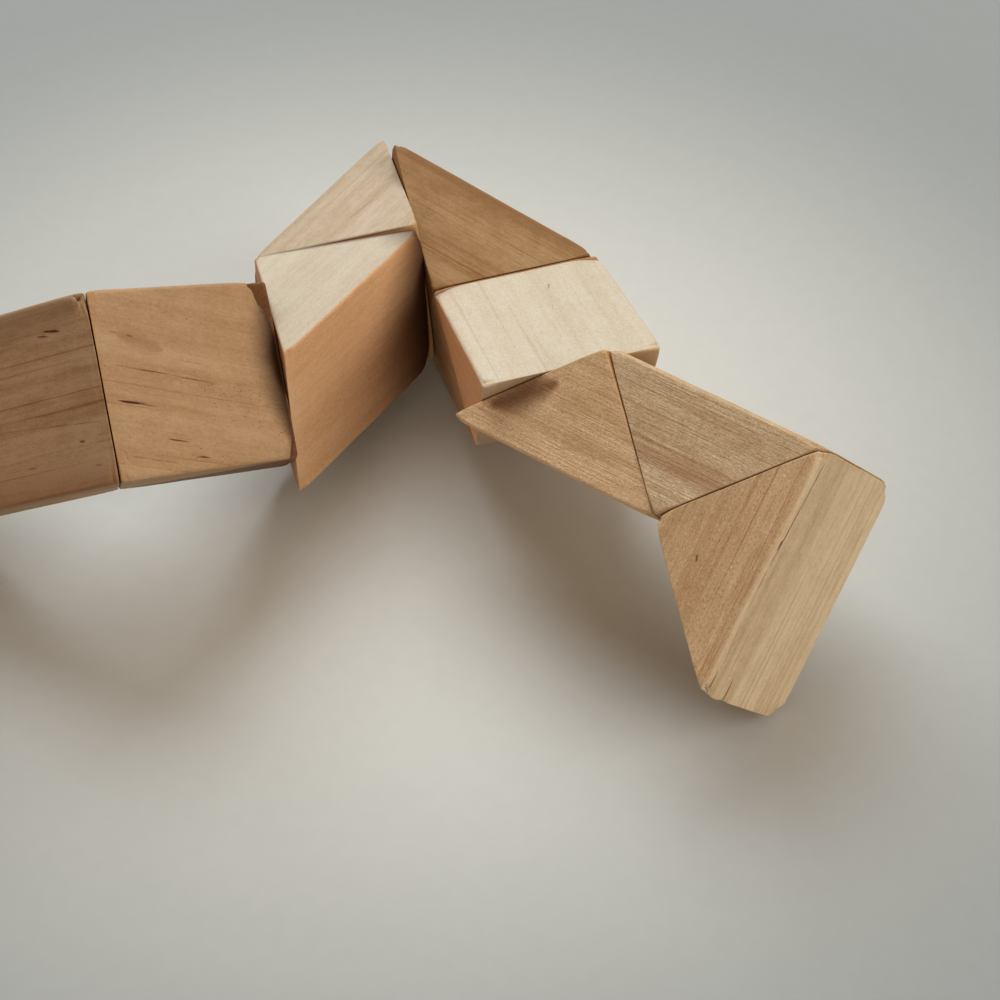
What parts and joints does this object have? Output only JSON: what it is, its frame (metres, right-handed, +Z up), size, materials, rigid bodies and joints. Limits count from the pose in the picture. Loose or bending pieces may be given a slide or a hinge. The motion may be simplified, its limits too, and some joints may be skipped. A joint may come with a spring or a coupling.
{
  "type": "twisty snake puzzle",
  "caption": "Natural wood twisty snake puzzle: a chain of triangular wedges on an elastic cord, laid in a loose zigzag.",
  "frame": {"origin": "under the middle of the bounding box, on the surface that the chain rests on", "axes": "+Z up; +Y away from the viewer, along the chain's longest extent; +X to the viewer's right, towards wedge_24"},
  "size_m": [0.1658, 0.1892, 0.0419],
  "materials": {
    "pale_wood": "unvarnished, finely sanded",
    "tan_wood": "unvarnished, finely sanded",
    "brown_wood": "unvarnished, sawn",
    "plug_wood": "end grain dowel",
    "elastic_cord": "matt woven sleeve over rubber"
  },
  "bodies": {
    "wedge_01": {"wedge_01": "tan_wood", "cord_run_01": "elastic_cord", "end_plug_01": "plug_wood"},
    "wedge_02": {"wedge_02": "brown_wood", "cord_run_02": "elastic_cord"},
    "wedge_03": {"wedge_03": "pale_wood", "cord_run_03": "elastic_cord"},
    "wedge_04": {"wedge_04": "tan_wood", "cord_run_04": "elastic_cord"},
    "wedge_05": {"wedge_05": "pale_wood", "cord_run_05": "elastic_cord"},
    "wedge_06": {"wedge_06": "brown_wood", "cord_run_06": "elastic_cord"},
    "wedge_07": {"wedge_07": "tan_wood", "cord_run_07": "elastic_cord"},
    "wedge_08": {"wedge_08": "pale_wood", "cord_run_08": "elastic_cord"},
    "wedge_09": {"wedge_09": "pale_wood", "cord_run_09": "elastic_cord"},
    "wedge_10": {"wedge_10": "brown_wood", "cord_run_10": "elastic_cord"},
    "wedge_11": {"wedge_11": "tan_wood", "cord_run_11": "elastic_cord"},
    "wedge_12": {"wedge_12": "pale_wood", "cord_run_12": "elastic_cord"},
    "wedge_13": {"wedge_13": "tan_wood", "cord_run_13": "elastic_cord"},
    "wedge_14": {"wedge_14": "brown_wood", "cord_run_14": "elastic_cord"},
    "wedge_15": {"wedge_15": "tan_wood", "cord_run_15": "elastic_cord"},
    "wedge_16": {"wedge_16": "pale_wood", "cord_run_16": "elastic_cord"},
    "wedge_17": {"wedge_17": "pale_wood", "cord_run_17": "elastic_cord"},
    "wedge_18": {"wedge_18": "pale_wood", "cord_run_18": "elastic_cord"},
    "wedge_19": {"wedge_19": "brown_wood", "cord_run_19": "elastic_cord"},
    "wedge_20": {"wedge_20": "tan_wood", "cord_run_20": "elastic_cord"},
    "wedge_21": {"wedge_21": "pale_wood", "cord_run_21": "elastic_cord"},
    "wedge_22": {"wedge_22": "tan_wood", "cord_run_22": "elastic_cord"},
    "wedge_23": {"wedge_23": "tan_wood", "cord_run_23": "elastic_cord"},
    "wedge_24": {"wedge_24": "pale_wood", "cord_run_24": "elastic_cord", "end_plug_24": "plug_wood"}
  },
  "joints": [
    {"name": "twist_01_02", "type": "hinge", "parent": "wedge_01", "child": "wedge_02", "pos_m": [-0.06512, -0.07201, 0.02074], "axis": [0.1906, -0.6921, -0.6962], "continuous": true},
    {"name": "twist_02_03", "type": "hinge", "parent": "wedge_02", "child": "wedge_03", "pos_m": [-0.06859, -0.0583, 0.02053], "axis": [0.1561, -0.6788, 0.7175], "continuous": true},
    {"name": "twist_03_04", "type": "hinge", "parent": "wedge_03", "child": "wedge_04", "pos_m": [-0.07206, -0.04459, 0.02032], "axis": [0.1906, -0.6921, -0.6962], "continuous": true},
    {"name": "twist_04_05", "type": "hinge", "parent": "wedge_04", "child": "wedge_05", "pos_m": [-0.06427, -0.03522, 0.02749], "axis": [0.9692, 0.2455, 0.0213], "continuous": true},
    {"name": "twist_05_06", "type": "hinge", "parent": "wedge_05", "child": "wedge_06", "pos_m": [-0.05614, -0.02597, 0.02053], "axis": [-0.1561, 0.6788, -0.7175], "continuous": true},
    {"name": "twist_06_07", "type": "hinge", "parent": "wedge_06", "child": "wedge_07", "pos_m": [-0.04801, -0.01673, 0.01357], "axis": [-0.9692, -0.2455, -0.0213], "continuous": true},
    {"name": "twist_07_08", "type": "hinge", "parent": "wedge_07", "child": "wedge_08", "pos_m": [-0.04022, -0.00736, 0.02074], "axis": [-0.1906, 0.6921, 0.6962], "continuous": true},
    {"name": "twist_08_09", "type": "hinge", "parent": "wedge_08", "child": "wedge_09", "pos_m": [-0.04369, 0.00635, 0.02053], "axis": [0.1561, -0.6788, 0.7175], "continuous": true},
    {"name": "twist_09_10", "type": "hinge", "parent": "wedge_09", "child": "wedge_10", "pos_m": [-0.04716, 0.02006, 0.02032], "axis": [-0.1906, 0.6921, 0.6962], "continuous": true},
    {"name": "twist_10_11", "type": "hinge", "parent": "wedge_10", "child": "wedge_11", "pos_m": [-0.03937, 0.02944, 0.02749], "axis": [-0.9692, -0.2455, -0.0213], "continuous": true},
    {"name": "twist_11_12", "type": "hinge", "parent": "wedge_11", "child": "wedge_12", "pos_m": [-0.03124, 0.03868, 0.02053], "axis": [-0.1561, 0.6788, -0.7175], "range_deg": [-4, 4]},
    {"name": "twist_12_13", "type": "hinge", "parent": "wedge_12", "child": "wedge_13", "pos_m": [-0.02311, 0.04792, 0.01357], "axis": [0.9692, 0.2455, 0.0213], "continuous": true},
    {"name": "twist_13_14", "type": "hinge", "parent": "wedge_13", "child": "wedge_14", "pos_m": [-0.01186, 0.04359, 0.02096], "axis": [0.1561, -0.6788, 0.7175], "range_deg": [-4, 4]},
    {"name": "twist_14_15", "type": "hinge", "parent": "wedge_14", "child": "wedge_15", "pos_m": [-0.00061, 0.03926, 0.02834], "axis": [0.9692, 0.2455, 0.0213], "continuous": true},
    {"name": "twist_15_16", "type": "hinge", "parent": "wedge_15", "child": "wedge_16", "pos_m": [0.00752, 0.0485, 0.02138], "axis": [-0.1561, 0.6788, -0.7175], "range_deg": [-4, 4]},
    {"name": "twist_16_17", "type": "hinge", "parent": "wedge_16", "child": "wedge_17", "pos_m": [0.01565, 0.05774, 0.01442], "axis": [-0.9692, -0.2455, -0.0213], "continuous": true},
    {"name": "twist_17_18", "type": "hinge", "parent": "wedge_17", "child": "wedge_18", "pos_m": [0.02292, 0.06986, 0.01379], "axis": [-0.2429, 0.9663, -0.0848], "range_deg": [-0.5, 5]},
    {"name": "twist_18_19", "type": "hinge", "parent": "wedge_18", "child": "wedge_19", "pos_m": [0.03014, 0.08202, 0.01367], "axis": [0.9657, 0.2492, 0.0734], "continuous": true},
    {"name": "twist_19_20", "type": "hinge", "parent": "wedge_19", "child": "wedge_20", "pos_m": [0.04235, 0.07597, 0.00986], "axis": [0.2548, -0.8534, -0.4547], "range_deg": [-1, 3]},
    {"name": "twist_20_21", "type": "hinge", "parent": "wedge_20", "child": "wedge_21", "pos_m": [0.0454, 0.06286, 0.01419], "axis": [0.0506, -0.4578, 0.8876], "range_deg": [-3, 6]},
    {"name": "twist_21_22", "type": "hinge", "parent": "wedge_21", "child": "wedge_22", "pos_m": [0.04846, 0.04975, 0.01852], "axis": [-0.2548, 0.8534, 0.4547], "continuous": true},
    {"name": "twist_22_23", "type": "hinge", "parent": "wedge_22", "child": "wedge_23", "pos_m": [0.05946, 0.0409, 0.0193], "axis": [0.8458, -0.0313, 0.5326], "range_deg": [-0.5, 8]},
    {"name": "twist_23_24", "type": "hinge", "parent": "wedge_23", "child": "wedge_24", "pos_m": [0.07022, 0.03179, 0.02046], "axis": [-0.2299, 0.8795, 0.4167], "continuous": true}
  ]
}
